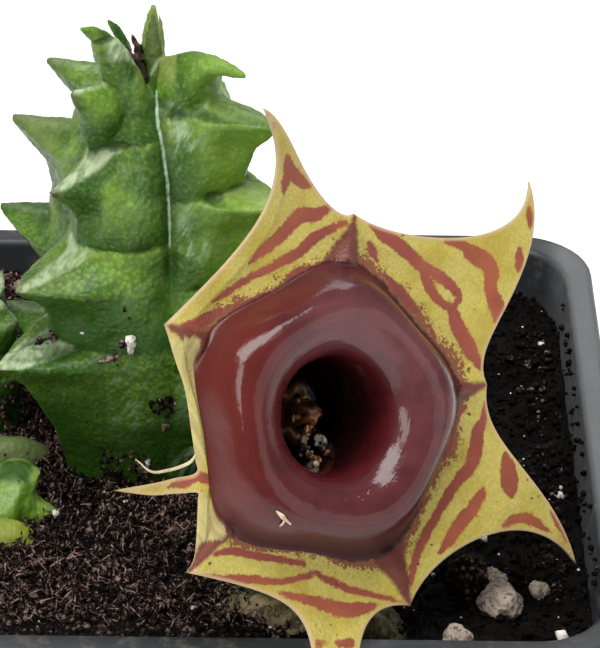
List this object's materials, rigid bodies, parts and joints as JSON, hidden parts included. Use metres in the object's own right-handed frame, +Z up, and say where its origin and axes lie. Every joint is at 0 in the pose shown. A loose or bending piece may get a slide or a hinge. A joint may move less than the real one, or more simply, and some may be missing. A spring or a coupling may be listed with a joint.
{
  "type": "potted lifesaver plant",
  "caption": "Small star-flowered succulent in a square nursery pot: ribbed, toothed green stems in dark soil and a striped flower with a thick glossy ring.",
  "frame": {"origin": "centre of the pot's flat underside", "axes": "+Z up along the pot; -Y is the side of the pot that the flower leans over, +X to its right"},
  "size_m": [0.07, 0.0755, 0.1098],
  "materials": {
    "pot_plastic": "thin moulded nursery plastic, dark grey, slightly dusty",
    "potting_soil": "moist peat and bark crumbs",
    "green_skin": "waxy green succulent skin",
    "young_green": "young yellow-green succulent skin",
    "withered_skin": "dry, mottled olive-brown skin",
    "petal": "fleshy yellow flower with red-brown stripes and a glossy maroon ring",
    "corona_flesh": "waxy orange and brown",
    "stalk_green": "smooth green stalk",
    "pumice": "rough, pale, porous"
  },
  "bodies": {
    "root": {"pot": "pot_plastic", "soil": "potting_soil", "main_stem": "green_skin", "side_stem": "green_skin", "creeping_stem": "green_skin", "offset_stem": "young_green", "old_stem": "withered_skin", "corolla": "petal", "corona": "corona_flesh", "flower_stalk": "stalk_green", "pumice_1": "pumice", "pumice_2": "pumice", "pumice_3": "pumice", "pumice_4": "pumice", "pumice_5": "pumice", "pumice_6": "pumice"}
  },
  "joints": []
}
